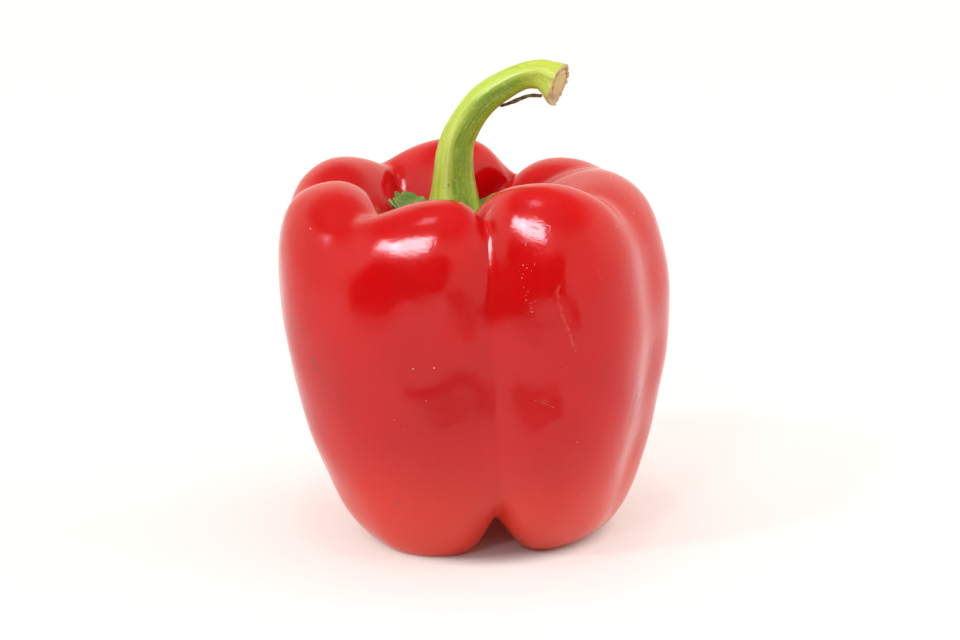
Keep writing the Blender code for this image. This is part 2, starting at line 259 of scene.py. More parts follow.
def furrowDepth(bearing, steps):
    # sum over the furrows of depth * exp(-(sqrt(away^2 + r^2) - r) / width), mixed between three zones
    f = fruitLook
    top = rampUp(steps, f["topZone"]) * (1 - rampUp(steps, f["sideZone"]))
    side = rampUp(steps, f["sideZone"]) * (1 - rampUp(steps, f["footZone"]))
    foot = rampUp(steps, f["footZone"]) * (1 - rampUp(steps, f["furrowsFade"]))
    zones = np.stack([top, side, foot])
    whole = np.maximum(zones.sum(axis=0), 0.001)        # never 0, so that the width can be divided by it
    share = steps / (len(f["outline"]) - 1)
    total = np.zeros((len(steps), len(bearing)))
    for atTop, atFoot, depths, widths, rounding in f["furrows"]:
        away = degreesFrom(np.radians(atTop * (1 - share) + atFoot * share), bearing)
        depth = np.array(depths) @ zones
        width = np.maximum(np.array(widths) @ zones / whole, f["narrowestFurrow"])
        rounded = np.sqrt(away**2 + rounding**2) - rounding
        total += depth[:, None] * np.exp(-rounded / width[:, None])
    return total


def fineRelief(bearing, steps, across, up):
    # the crease like a narrow furrow whose line bends by bend * exp(-((share - middle) / reach)^2), less the
    # lumps, less each swell's rise * exp(-(degrees away / half width)^2 - (mm away / half height)^2)
    f = fruitLook
    flat = np.stack([across * np.cos(bearing), across * np.sin(bearing), up], axis=-1)
    share = steps / (len(f["outline"]) - 1)
    atTop, atFoot, deep, width, rounding = f["crease"]
    bend, middle, reach = f["creaseBend"]
    line = np.radians(atTop + (atFoot - atTop) * share - bend * np.exp(-((share - middle) / reach) ** 2))
    zone = rampUp(steps, f["creaseZone"]) * (1 - rampUp(steps, f["creaseFade"]))
    rounded = np.hypot(degreesFrom(line, bearing), rounding) - rounding
    depth = deep * zone[:, None] * np.exp(-rounded / width)
    depth = depth - f["lumps"] * unevenness(flat, f["lumpSize"], f["lumpSeed"])
    outside = rampUp(steps, f["swellZone"])[:, None]
    for at, height, wide, tall, rise in f["swells"]:
        away = degreesFrom(np.radians([at]), bearing)
        depth = depth - outside * rise * np.exp(-(away / wide) ** 2 - ((up - height) / tall) ** 2)
    return depth


def fruitSurface(bearing, steps, furrowed=True, detailed=False):
    # the outline turned round the axis, pressed in along its own normal by the furrows and the fine relief
    f = fruitLook
    last = len(f["outline"]) - 1
    near = 0.002        # step along the outline that gives its slope
    across, up = lobeOutline(bearing, steps)
    acrossAfter, upAfter = lobeOutline(bearing, np.clip(steps + near, 0, last))
    acrossBefore, upBefore = lobeOutline(bearing, np.clip(steps - near, 0, last))
    run = acrossAfter - acrossBefore
    fall = upAfter - upBefore
    length = np.hypot(run, fall)
    depth = furrowed * furrowDepth(bearing, steps)
    if detailed:
        depth = depth + fineRelief(bearing, steps, across, up)
    across = np.maximum(across + depth * fall / length, 0)
    up = np.maximum(up - depth * run / length, 0)
    lean = 1 - rampUp(steps, f["seatFades"])[:, None]
    x = across * np.cos(bearing) + f["seat"][0] * lean
    y = across * np.sin(bearing) + f["seat"][1] * lean
    return np.stack([x, y, up], axis=-1)


def centringOf(skin):
    # the frame stands centred on its plan box: the way from the formula's place to the CAD node's
    low, high = [np.array(corner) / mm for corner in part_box("fruit")]
    move = (low + high) / 2 - (skin.reshape(-1, 3).min(axis=0) + skin.reshape(-1, 3).max(axis=0)) / 2
    return np.array([move[0], move[1], 0])


# about as coarse as the solid, so that the two boxes match
roughSkin = fruitSurface(np.linspace(-np.pi, np.pi, 90, endpoint=False), np.linspace(0, 12, 46))
centring = centringOf(roughSkin)


def makeFruit():
    # the skin from the cavity floor to the blossom end, closed by the middles of its first and last ring
    f = fruitLook
    turn = np.linspace(-np.pi, np.pi, f["columns"], endpoint=False)
    bearing = turn - f["frontCrowding"] * np.cos(turn)     # columns stand closer together at the front
    steps = np.linspace(0, len(f["outline"]) - 1, f["rows"])
    skin = fruitSurface(bearing, steps, detailed=True) + centring
    start = skin[0].mean(axis=0)
    end = skin[-1].mean(axis=0)
    return makePiece("pepperFruit", start, skin[1:-1], end, ["fruit"])


def strokeMask(tree, place, start, end, halfWidth, strength):
    # the strength on the line from start to end, falling to 0 at the half width from its nearest point
    a = (np.array(start) + centring) * mm
    d = (np.array(end) - np.array(start)) * mm
    away = addNode(tree, "VectorMath", "SUBTRACT", {1: a.tolist()}, {0: place})
    along = addNode(tree, "VectorMath", "DOT_PRODUCT", {1: (d / (d @ d)).tolist()}, {0: away[0]})
    held = addNode(tree, "Math", {"operation": "MULTIPLY", "use_clamp": True}, {1: 1.0}, {0: along["Value"]})
    near = addNode(tree, "VectorMath", "SCALE", {0: d.tolist()}, {"Scale": held[0]})
    distance = addNode(tree, "VectorMath", "DISTANCE", None, {0: away[0], 1: near[0]})
    limits = {"From Min": halfWidth * mm, "From Max": 0, "To Max": strength}
    return addNode(tree, "MapRange", smooth, limits, {"Value": distance["Value"]})["Result"]


def anyOf(tree, masks):
    # the greatest of the masks at each point
    total = masks[0]
    for mask in masks[1:]:
        total = addNode(tree, "Math", "MAXIMUM", None, {0: total, 1: mask})[0]
    return total


def skinPlaces(tree):
    # a point's place, the place moved a little by a noise so that no stroke looks ruled, that with y dropped
    # because strokes are measured across the front only, the height, and 1 on the front
    f = fruitLook
    waver = f["waver"] * mm
    place = addNode(tree, "TexCoord")["Object"]
    noise = addNode(tree, "TexNoise", None, {"Scale": 1000 / f["waverSize"], "Detail": 2},
                    {"Vector": place})
    shift = addNode(tree, "VectorMath", "MULTIPLY_ADD",
                    {1: (waver, 0, waver), 2: (-waver / 2, 0, -waver / 2)}, {0: noise["Color"]})
    wavering = addNode(tree, "VectorMath", "ADD", None, {0: place, 1: shift[0]})[0]
    flat = addNode(tree, "VectorMath", "MULTIPLY", {1: (1, 0, 1)}, {0: wavering})[0]
    parts = addNode(tree, "SeparateXYZ", None, None, {0: place})
    front = addNode(tree, "Math", "LESS_THAN", {1: f["frontFrom"] * mm}, {0: parts["Y"]})[0]
    return {"place": place, "wavering": wavering, "flat": flat, "height": parts["Z"], "front": front}


def frontStrokes(tree, places, strokes):
    # the greatest of the strokes' masks, times the mask of the front; y is 0 at their ends too
    masks = []
    for start, end, halfWidth, strength in strokes:
        a, b = [(x, -centring[1], z) for x, z in (start, end)]
        masks.append(strokeMask(tree, places["flat"], a, b, halfWidth, strength))
    return addNode(tree, "Math", "MULTIPLY", None, {0: anyOf(tree, masks), 1: places["front"]})[0]


def brokenScars(tree, places):
    # the scars times a noise held between two levels, so that they come and go along their length
    f = fruitLook
    noise = addNode(tree, "TexNoise", None, {"Scale": 1000 / f["scarBreaks"], "Detail": 3},
                    {"Vector": places["place"]})
    start, full = f["scarLevels"]
    patches = addNode(tree, "MapRange", None, {"From Min": start, "From Max": full}, {"Value": noise["Fac"]})
    return addNode(tree, "Math", "MULTIPLY", None,
                   {0: frontStrokes(tree, places, f["scars"]), 1: patches[0]})[0]


def dustMask(tree, places):
    # 1 nearer to a cell's point than its random speck size, in the cells that aren't left clean
    f = fruitLook
    cells = addNode(tree, "TexVoronoi", None, {"Scale": 1000 / f["dustCell"]}, {"Vector": places["place"]})
    pick = addNode(tree, "SeparateColor", None, None, {0: cells["Color"]})
    size = addNode(tree, "Math", "MULTIPLY", {1: f["dustSize"] / f["dustCell"]}, {0: pick[0]})
    speck = addNode(tree, "Math", "LESS_THAN", None, {0: cells["Distance"], 1: size[0]})
    some = addNode(tree, "Math", "GREATER_THAN", {1: f["dustLeftOut"]}, {0: pick[1]})
    return addNode(tree, "Math", "MULTIPLY", None, {0: speck[0], 1: some[0]})[0]


# the flecks are raised grains whose pale colour is a painted glint
def fleckMask(tree, places):
    # grains of a fine cell pattern, in the cells whose random number is under the strength of their line
    f = fruitLook
    slope, offset = f["fleckReach"]
    grains = addNode(tree, "TexVoronoi", None, {"Scale": 1000 / f["fleckCell"]},
                     {"Vector": places["wavering"]})
    chosen = addNode(tree, "SeparateColor", None, None, {0: grains["Color"]})
    reach = addNode(tree, "Math", "MULTIPLY_ADD", {1: slope, 2: offset}, {0: chosen[0]})
    spot = addNode(tree, "Math", "LESS_THAN", None, {0: grains["Distance"], 1: reach[0]})
    crowd = addNode(tree, "Math", "GREATER_THAN", None,
                    {0: frontStrokes(tree, places, f["fleckLines"]), 1: chosen[1]})
    return addNode(tree, "Math", "MULTIPLY", None, {0: spot[0], 1: crowd[0]})[0]


def skinColour(tree, places, covers):
    # deep red in soft clouds, paler towards the foot as a painted reflection of the table, then each cover's
    # colour mixed in by its mask
    f = fruitLook
    clouds = addNode(tree, "TexNoise", None,
                     {"Scale": 1000 / f["cloudSize"], "Detail": 3, "Roughness": 0.5},
                     {"Vector": places["place"]})
    base = addNode(tree, "ValToRGB", None, None, {"Fac": clouds["Fac"]})
    fillRamp(base, [(0.3, f["deepRed"]), (0.5, f["red"]), (0.75, f["warmRed"])])
    low, full, footSheenColour, most = f["paintedFootSheen"]
    footSheenMask = addNode(tree, "MapRange", smooth, {"From Min": low * mm, "From Max": full * mm, "To Max": most},
                    {"Value": places["height"]})
    colour = base["Color"]
    for cover, mask in [(footSheenColour, footSheenMask[0])] + covers:
        colour = addNode(tree, "Mix", {"data_type": "RGBA"}, {7: linearColour(cover)},
                         {0: mask, 6: colour})[2]
    return colour


def skinGloss(tree, places, matt):
    # roughness from thick to thin wax by a noise, plus the dullness of what is matt
    f = fruitLook
    noise = addNode(tree, "TexNoise", None, {"Scale": 1000 / f["glossSize"], "Detail": 4},
                    {"Vector": places["place"]})
    gloss = addNode(tree, "MapRange", None, {"To Min": f["roughness"][0], "To Max": f["roughness"][1]},
                    {"Value": noise["Fac"]})
    return addNode(tree, "Math", "MULTIPLY_ADD", {1: f["scarDull"]}, {0: matt, 2: gloss[0]})[0]


def skinRelief(tree, places, scars, dents, flecks):
    # faint dimples of the wax, wider ripples over them, then scars + flecks - sunk * dents
    f = fruitLook
    dimples = addNode(tree, "TexNoise", None, {"Scale": 1000 / f["dimpleSize"], "Detail": 2},
                      {"Vector": places["place"]})
    ripples = addNode(tree, "TexNoise", None, {"Scale": 1000 / f["rippleSize"], "Detail": 2},
                      {"Vector": places["place"]})
    sunk = addNode(tree, "Math", "MULTIPLY_ADD", {1: -f["sunk"]}, {0: dents, 2: scars})
    raised = addNode(tree, "Math", "ADD", None, {0: sunk[0], 1: flecks})
    before = {}
    for name, height in (("dimples", dimples["Fac"]), ("ripples", ripples["Fac"]), ("raised", raised[0])):
        bump = addNode(tree, "Bump", None, {"Strength": f[name][0], "Distance": f[name][1]},
                       {"Height": height, **before})
        before = {"Normal": bump[0]}
    return bump[0]


def pepperSkin():
    # ripe pepper cuticle: smooth wax over deep red flesh, so a clear gloss with soft edges and healed scars
    f = fruitLook
    material, tree, shader = newMaterial("ripe pepper skin, waxy cuticle")
    places = skinPlaces(tree)
    scars = brokenScars(tree, places)
    dents = frontStrokes(tree, places, f["dents"])
    marks = frontStrokes(tree, places, f["marks"])
    flecks = fleckMask(tree, places)
    # dust specks and the flecks' painted glints, mixed in with one pale colour
    dustAndGlints = addNode(tree, "Math", "MULTIPLY", {1: f["dustAndGlintCover"]},
                     {0: anyOf(tree, [dustMask(tree, places), flecks])})[0]
    covers = [(f["scarColour"], scars), (f["dentShadeColour"], dents), (f["markColour"], marks),
              (f["dustAndGlintColour"], dustAndGlints)]
    tree.links.new(skinColour(tree, places, covers), shader.inputs["Base Color"])
    tree.links.new(skinGloss(tree, places, anyOf(tree, [scars, marks])), shader.inputs["Roughness"])
    tree.links.new(skinRelief(tree, places, scars, dents, flecks), shader.inputs["Normal"])
    flesh, reach, shares = f["flesh"]
    bloom, roughness, tint = f["bloom"]
    setInputs(shader, {"IOR": f["ior"], "Subsurface Weight": flesh, "Subsurface Scale": reach,
                       "Subsurface Radius": shares, "Sheen Weight": bloom, "Sheen Roughness": roughness,
                       "Sheen Tint": linearColour(tint)})
    return material


fruit = makeFruit()
fruit.data.materials.append(pepperSkin())
print("fruit made")


calyxLook = {
    # reach and teeth of the edge, in steps of the fruit's outline
    "reach": 1.8, "tooth": 0.42, "teeth": 7, "toothTurn": 0.6, "toothPoint": 1.6, "uneven": 0.35,
    "ragged": 0.08,
    # mm: thickness in the middle and at the edge, how it thins, gap to the cavity floor
    "thick": 2.6, "edge": 0.6, "taper": 0.8, "gap": 0.4,
    "veins": 0.12, "curl": 0.35,    # mm, rise of the veins and of the teeth's tips
    "middleHeight": 70.5, "poleSunk": 0.2,      # mm, under the stalk
    "columns": 280, "rows": 40,
    "floorReach": 3.2, "floorRows": 321,    # how far and how finely the cavity floor is followed
    "leaf": [(0.3, "#3A5216"), (0.55, "#587426"), (0.78, "#98A64A")],
    "mottleSize": 2.381,    # mm
    "roughness": 0.45, "relief": (0.5, 0.0003),
}


def calyxRings():
    # the cavity floor lifted along its normal by the gap and by a thickness that thins towards a toothed edge
    c = calyxLook
    bearing = np.linspace(-np.pi, np.pi, c["columns"], endpoint=False)
    tooth = np.abs(np.cos(c["teeth"] * bearing / 2 + c["toothTurn"])) ** c["toothPoint"]
    reach = c["reach"] + c["tooth"] * tooth * (1 + c["uneven"] * np.sin(2 * bearing + 1))
    rough = np.sin(23 * bearing) * np.sin(9 * bearing + 1) + 0.6 * np.sin(41 * bearing)
    reach = reach + c["ragged"] * rough
    steps = np.linspace(0, c["floorReach"], c["floorRows"])
    floor = fruitSurface(bearing, steps, furrowed=False)
    along = np.gradient(floor, axis=0)
    around = (np.roll(floor, -1, axis=1) - np.roll(floor, 1, axis=1)) / 2
    normal = np.cross(along, around)
    normal /= np.maximum(np.linalg.norm(normal, axis=-1, keepdims=True), 1e-9)
    share = np.linspace(0, 1, c["rows"] + 1)[1:, None]
    at = share * reach / (steps[1] - steps[0])
    lower = np.floor(at).astype(int)
    part = (at - lower)[..., None]
    column = np.arange(c["columns"])[None]
    spot = floor[lower, column] * (1 - part) + floor[lower + 1, column] * part
    out = normal[lower, column] * (1 - part) + normal[lower + 1, column] * part
    thick = c["edge"] + (c["thick"] - c["edge"]) * (1 - share) ** c["taper"]
    rib = c["veins"] * share * (1 - share) * 4 * np.cos(c["teeth"] * 2 * bearing + 4 * c["toothTurn"])
    lift = c["curl"] * (tooth * share**4)[..., None]
    under = spot + out * c["gap"] + out * lift
    over = spot + out * (c["gap"] + (thick + rib)[..., None]) + out * lift
    return np.concatenate([over, under[::-1]])


def calyxLeaf():
    # leafy green calyx: satin, darker and yellower in soft mottles
    c = calyxLook
    material, tree, shader = newMaterial("pepper calyx, leafy green")
    place = addNode(tree, "TexCoord")["Object"]
    mottle = addNode(tree, "TexNoise", None, {"Scale": 1000 / c["mottleSize"], "Detail": 5},
                     {"Vector": place})
    ramp = addNode(tree, "ValToRGB", None, None, {"Fac": mottle["Fac"]})
    fillRamp(ramp, c["leaf"])
    bump = addNode(tree, "Bump", None, {"Strength": c["relief"][0], "Distance": c["relief"][1]},
                   {"Height": mottle["Fac"]})
    tree.links.new(ramp["Color"], shader.inputs["Base Color"])
    tree.links.new(bump[0], shader.inputs["Normal"])
    setInputs(shader, {"Roughness": c["roughness"]})
    return material


def makeCalyx():
    # over the top from its pole to the edge and back underneath to the middle
    c = calyxLook
    middle = np.array([*fruitLook["seat"], c["middleHeight"]])
    top = middle + [0, 0, c["gap"] + c["thick"] - c["poleSunk"]]
    rings = calyxRings() + centring
    return makePiece("pepperCalyx", top + centring, rings, middle + centring, ["calyx"])


calyx = makeCalyx()
calyx.data.materials.append(calyxLeaf())
print("calyx made")


stalkLook = {
    # centreline: x, y, z, radius in mm
    "line": [(-4.4, 0.5, 73.5, 6.6), (-4.4, 0.5, 77, 5.6), (-4.5, 0.5, 82, 4.65), (-4.3, 0.5, 86.8, 4.2),
             (-3.4, 0.5, 90.9, 3.85), (-1, 0.3, 95.5, 3.55), (2, 0, 99.4, 3.45), (6.3, -0.8, 102.7, 3.2),
             (10.8, -2.4, 105.2, 2.95), (14.4, -4.2, 105.95, 3.25), (16.5, -5.3, 105.5, 3.6),
             (18.8, -6.4, 104.7, 4.1)],
    "flare": 1.5, "flareLength": 4.5,       # mm, the underside swells towards the cut
    "ribs": 5, "ribShare": 0.045, "twist": 0.9,
    "columns": 180, "rows": 260,
    "strands": 0.015,   # mm, relief of the fibre strands
    # the cut from its rim to the pith: share of the rim, height in mm
    "cutRings": [(0.98, 0.1), (0.95, 0.14), (0.9, 0.06), (0.86, -0.08), (0.82, -0.12), (0.79, -0.35),
                 (0.76, -0.5), (0.73, -0.4), (0.69, -0.05), (0.6, 0.06), (0.45, 0.1), (0.28, 0.12),
                 (0.12, 0.14)],
    "pithHeight": 0.15, "ragged": 0.3,

    # colours round the stalk, from the back over the outer side, the front and the inner side to the back:
    # its own greens and browns with the light and shade round it painted in; the pale streak at 0.445 is a
    # painted highlight
    "litAndShadedBands": [(0, "#66701E"), (0.22, "#7A7030"), (0.26, "#8E9E32"), (0.34, "#9EB432"), (0.41, "#9FB82A"),
              (0.445, "#AEBC60"), (0.475, "#88A228"), (0.51, "#6C911A"), (0.57, "#608418"), (0.62, "#73961B"),
              (0.655, "#8EAD28"), (0.69, "#7A871E"), (0.73, "#5E561C"), (0.80, "#625E20"), (1, "#66701E")],
    "bandTurn": 0.045, "bandTurnAt": (12, 24),      # share of a turn they wind round, between these mm
    "bandWander": 0.16,     # share of a turn
    # how fast a noise changes round the stalk and along it: width in mm, scale along
    "strandGrain": (0.55, 0.09), "broadGrain": (1.8182, 0.06),
    # over the bands: colour, noise level where it starts and where it is full, most share
    "paleStrands": ("#A4B84A", 0.4, 0.7, 0.4), "darkStrands": ("#4C7418", 0.46, 0.28, 0.5),
    # towards the cut: colour, mm before it where it starts and where it is full, most share
    "tip": ("#A6B034", 12, 3, 0.7), "rim": ("#A98C55", 0.7, 0.1, 1),
    # rubbed spots and pale pores: colour, size in mm, detail, then levels and share as above
    "rubbed": ("#7A5A2C", 1.1111, 3, 0.66, 0.74, 0.6), "pores": ("#C2CE6C", 0.76923, 2, 0.52, 0.72, 0.28),
    "roughness": 0.32, "flesh": (0.05, 0.001), "relief": (0.3, 0.0003),

    # colours of the cut from the middle of the pith to the rim
    "cutColours": [(0, "#B8A466"), (0.55, "#AE9A5C"), (0.66, "#C0AE78"), (0.73, "#84704A"),
                   (0.79, "#A08A60"), (0.88, "#AC9A76"), (0.97, "#BCA884"), (1, "#A8946C")],
    # paler fibre in the cut: colour, noise level where it starts and where it is full, most share
    "cutFibre": ("#C2B08A", 0.3, 0.6, 0.4),
    "cutGrain": 1.1111, "cutWander": 0.8,   # mm, the grain and how far it moves the rings in and out
    "cutRoughness": 0.85, "cutRelief": (0.7, 0.0003),
}


def curveAt(points, count):
    # Catmull-Rom curve through every row of points
    rows = np.array(points, dtype=float)
    padded = np.vstack([2 * rows[0] - rows[1], rows, 2 * rows[-1] - rows[-2]])
    steps = np.linspace(0, len(rows) - 1, count)
    start = np.clip(np.floor(steps).astype(int), 0, len(rows) - 2)
    t = (steps - start)[:, None]
    a, b, c, d = (padded[start + n] for n in range(4))
    return b + 0.5 * t * (c - a + t * (2 * a - 5 * b + 4 * c - d + t * (3 * (b - c) + d - a)))


def sweepFrames(centres):
    # directions along, to the side and across a curve that stays near the x-z plane
    along = np.gradient(centres, axis=0)
    along /= np.linalg.norm(along, axis=1, keepdims=True)
    side = np.cross(along, [0.0, 1.0, 0.0])
    side /= np.linalg.norm(side, axis=1, keepdims=True)
    return along, side, np.cross(along, side)


def stalkTube(curve, side, back, turn, walked):
    # radius * (1 + ribs) plus fine strands, the underside swollen by the flare in the last mm before the cut
    s = stalkLook
    share = np.linspace(0, 1, s["rows"])[:, None]
    ribs = 1 + s["ribShare"] * np.cos(s["ribs"] * turn + s["twist"] * share)
    strands = np.sin(31 * turn + 3 * np.sin(2 * turn) + 1.5 * share) + 0.7 * np.sin(53 * turn + 9 * share)
    swell = rampUp(walked[:, None], (walked[-1] - s["flareLength"], walked[-1])) ** 1.3
    under = np.maximum(-np.cos(turn), 0) ** 1.2
    reach = curve[:, 3:4] * ribs + s["strands"] * strands + s["flare"] * swell * under
    out = side[:, None] * np.cos(turn)[:, None] + back[:, None] * np.sin(turn)[:, None]
    return curve[:, None, :3] + reach[..., None] * out


def cutSurface(rim, tip, direction, turn):
    # the rim drawn in towards the tip by each share and lifted by its height plus ragged * waves * share^3
    s = stalkLook
    rough = s["ragged"] * (np.sin(7 * turn) * np.sin(3 * turn + 1) + 0.5 * np.sin(19 * turn))
    shares, heights = np.array(s["cutRings"]).T[..., None]
    lift = heights + rough * shares**3
    return tip + (rim - tip) * shares[..., None] + direction * lift[..., None]


def makeStalk():
    # the tube and the cut on its end; the grain is a unit circle's x and y and the mm walked along the stalk
    s = stalkLook
    curve = curveAt(s["line"], s["rows"])
    along, side, back = sweepFrames(curve[:, :3])
    turn = np.linspace(0, 2 * np.pi, s["columns"], endpoint=False)
    walked = np.concatenate([[0], np.cumsum(np.linalg.norm(np.diff(curve[:, :3], axis=0), axis=1))])
    tip = curve[-1, :3]
    body = stalkTube(curve, side, back, turn, walked)
    rings = np.concatenate([body, cutSurface(body[-1], tip, along[-1], turn)])
    grain = np.zeros((len(rings), s["columns"], 3))
    grain[..., 0] = np.cos(turn - np.pi / 2)
    grain[..., 1] = np.sin(turn - np.pi / 2)
    grain[:s["rows"], :, 2] = walked[:, None]
    grain[s["rows"]:, :, 2] = walked[-1]
    end = tip + along[-1] * s["pithHeight"]
    piece = makePiece("pepperStalk", end + centring, rings[::-1, ::-1] + centring, curve[0, :3] + centring,
                      ["stalk"])
    flipped = grain[::-1, ::-1].reshape(-1, 3)
    storeAttribute(piece, "grain", np.vstack([[0, 0, walked[-1]], flipped, [0, 0, 0]]))
    piece.data.materials.append(stalkSkin(walked[-1]))
    piece.data.materials.append(dryCut(tip + centring, along[-1], curve[-1, 3]))
    index = np.zeros(len(piece.data.polygons), dtype=np.int32)
    index[:s["columns"] * len(s["cutRings"])] = 1       # the faces of the cut come first
    piece.data.polygons.foreach_set("material_index", index)
    return piece


def strandNoise(tree, grain, size, detail):
    # noise on the grain: the unit circle * radius / width round the stalk, the mm * the scale along it
    width, along = size
    across = 4.0 / width        # the stalk's radius is about 4 mm
    stretched = addNode(tree, "VectorMath", "MULTIPLY", {1: (across, across, along)}, {0: grain})
    return addNode(tree, "TexNoise", None, {"Scale": 1, **detail}, {"Vector": stretched[0]})["Fac"]


def litAndShadedStalkBands(tree, grain, parts):
    # the ramp of the bands, with their painted light and shade, read at share of a turn + winding along the
    # stalk + wandering with a broad noise
    s = stalkLook
    broad = strandNoise(tree, grain, s["broadGrain"], {"Detail": 3})
    angle = addNode(tree, "Math", "ARCTAN2", None, {0: parts["Y"], 1: parts["X"]})
    around = addNode(tree, "MapRange", None, {"From Min": -math.pi, "From Max": math.pi}, {"Value": angle[0]})
    wander = addNode(tree, "Math", "MULTIPLY_ADD", {1: s["bandWander"], 2: -s["bandWander"] / 2}, {0: broad})
    start, full = s["bandTurnAt"]
    wound = addNode(tree, "MapRange", smooth, {"From Min": start, "From Max": full, "To Max": s["bandTurn"]},
                    {"Value": parts["Z"]})
    turned = addNode(tree, "Math", "ADD", None, {0: around[0], 1: wound[0]})
    place = addNode(tree, "Math", "ADD", None, {0: turned[0], 1: wander[0]})
    litAndShadedBands = addNode(tree, "ValToRGB", None, None, {"Fac": place[0]})
    fillRamp(litAndShadedBands, s["litAndShadedBands"])
    return litAndShadedBands["Color"]


def stalkSkin(length):
    # fibrous green skin: long strands, pale and dark bands on the ribs that carry painted highlight and
    # shade, rubbed brown spots, yellow at the cut
    s = stalkLook
    material, tree, shader = newMaterial("pepper stalk, fibrous green skin")
    grain = addNode(tree, "Attribute", {"attribute_name": "grain"})["Vector"]
    place = addNode(tree, "TexCoord")["Object"]
    parts = addNode(tree, "SeparateXYZ", None, None, {0: grain})
    strands = strandNoise(tree, grain, s["strandGrain"], {"Detail": 5, "Roughness": 0.62})
    covers = [("LINEAR", strands, s[name]) for name in ("paleStrands", "darkStrands")]
    for name in ("tip", "rim"):
        cover, start, full, most = s[name]
        covers.append(("SMOOTHSTEP", parts["Z"], (cover, length - start, length - full, most)))
    for name in ("rubbed", "pores"):
        cover, size, detail, start, full, most = s[name]
        noise = addNode(tree, "TexNoise", None, {"Scale": 1000 / size, "Detail": detail}, {"Vector": place})
        covers.append(("LINEAR", noise["Fac"], (cover, start, full, most)))
    colour = litAndShadedStalkBands(tree, grain, parts)
    for rise, value, (cover, start, full, most) in covers:
        mask = addNode(tree, "MapRange", {"interpolation_type": rise},
                       {"From Min": start, "From Max": full, "To Max": most}, {"Value": value})
        colour = addNode(tree, "Mix", {"data_type": "RGBA"}, {7: linearColour(cover)},
                         {0: mask[0], 6: colour})[2]
    bump = addNode(tree, "Bump", None, {"Strength": s["relief"][0], "Distance": s["relief"][1]},
                   {"Height": strands})
    tree.links.new(colour, shader.inputs["Base Color"])
    tree.links.new(bump[0], shader.inputs["Normal"])
    flesh, reach = s["flesh"]
    setInputs(shader, {"Roughness": s["roughness"], "Subsurface Weight": flesh, "Subsurface Scale": reach})
    return material


def dryCut(centre, direction, radius):
    # a cut that dried for days: tan corky ring, a dark shrunken groove, ochre pith, all matt;
    # the ramp is read at (distance from the centre + wander) / radius
    s = stalkLook
    middle = (centre + direction * 0.1) * mm        # 0.1 mm out, half way up the relief
    wander = s["cutWander"] * mm
    material, tree, shader = newMaterial("dried stalk cut, tan and corky")
    place = addNode(tree, "TexCoord")["Object"]
    away = addNode(tree, "VectorMath", "DISTANCE", {1: middle.tolist()}, {0: place})
    noise = addNode(tree, "TexNoise", None, {"Scale": 1000 / s["cutGrain"], "Detail": 5}, {"Vector": place})
    shift = addNode(tree, "Math", "MULTIPLY_ADD", {1: wander, 2: -wander / 2}, {0: noise["Fac"]})
    moved = addNode(tree, "Math", "ADD", None, {0: away["Value"], 1: shift[0]})
    share = addNode(tree, "MapRange", None, {"From Max": radius * mm}, {"Value": moved[0]})
    rings = addNode(tree, "ValToRGB", None, None, {"Fac": share[0]})
    fillRamp(rings, s["cutColours"])
    fibre, start, full, most = s["cutFibre"]
    mask = addNode(tree, "MapRange", None, {"From Min": start, "From Max": full, "To Max": most},
                   {"Value": noise["Fac"]})
    colour = addNode(tree, "Mix", {"data_type": "RGBA"}, {7: linearColour(fibre)},
                     {0: mask[0], 6: rings["Color"]})[2]
    bump = addNode(tree, "Bump", None, {"Strength": s["cutRelief"][0], "Distance": s["cutRelief"][1]},
                   {"Height": noise["Fac"]})
    tree.links.new(colour, shader.inputs["Base Color"])
    tree.links.new(bump[0], shader.inputs["Normal"])
    setInputs(shader, {"Roughness": s["cutRoughness"]})
    return material


stalk = makeStalk()
print("stalk made")


stripLook = {
    # centreline: x, y, z, half thickness, half width in mm
    "line": [(14.9, -2.75, 101, 0.26, 0.5), (12.1, -1.5, 100.75, 0.32, 0.62), (8.8, 0.4, 99.15, 0.32, 0.66),
             (6.6, 2.2, 98, 0.26, 0.54), (5.2, 3.4, 97.7, 0.12, 0.25)],
    "columns": 36, "rows": 120, "tip": 0.05,
    "fuller": 1.25, "crease": 0.18,     # shares of the half thickness
    "waver": 0.1, "fineWaver": 0.06,    # shares of the size
    "colours": [(0.3, "#4A3C1C"), (0.5, "#6E6030"), (0.7, "#8E8A4A")],
    "mottleSize": 1.4286,   # mm
    "roughness": 0.7,
}


def makeStrip():
    # a flat creased oval carried along the centreline, its size wavering a little as dried skin does
    s = stripLook
    curve = curveAt(s["line"], s["rows"])
    along, side, back = sweepFrames(curve[:, :3])
    turn = np.linspace(0, 2 * np.pi, s["columns"], endpoint=False)
    share = np.linspace(0, 1, s["rows"])
    waver = (1 + s["waver"] * np.sin(17 * share) + s["fineWaver"] * np.sin(41 * share + 1))[:, None, None]
    creased = 1 - s["crease"] * np.cos(4 * turn)[:, None]
    thin = side[:, None] * np.cos(turn)[:, None] * curve[:, 3:4, None] * s["fuller"] * waver * creased
    wide = back[:, None] * np.sin(turn)[:, None] * curve[:, 4:5, None] * waver
    rings = curve[:, None, :3] + thin + wide + centring
    start = curve[0, :3] - along[0] * s["tip"] + centring
    end = curve[-1, :3] + along[-1] * s["tip"] + centring
    return makePiece("peeledSliver", start, rings, end, ["peeled_strip"])


def driedSkin():
    # skin that peeled and dried: olive brown and matt, paler in spots
    s = stripLook
    material, tree, shader = newMaterial("dried stalk skin, olive brown")
    place = addNode(tree, "TexCoord")["Object"]
    noise = addNode(tree, "TexNoise", None, {"Scale": 1000 / s["mottleSize"], "Detail": 4},
                    {"Vector": place})
    ramp = addNode(tree, "ValToRGB", None, None, {"Fac": noise["Fac"]})
    fillRamp(ramp, s["colours"])
    tree.links.new(ramp["Color"], shader.inputs["Base Color"])
    setInputs(shader, {"Roughness": s["roughness"]})
    return material


strip = makeStrip()
strip.data.materials.append(driedSkin())
print("strip made")


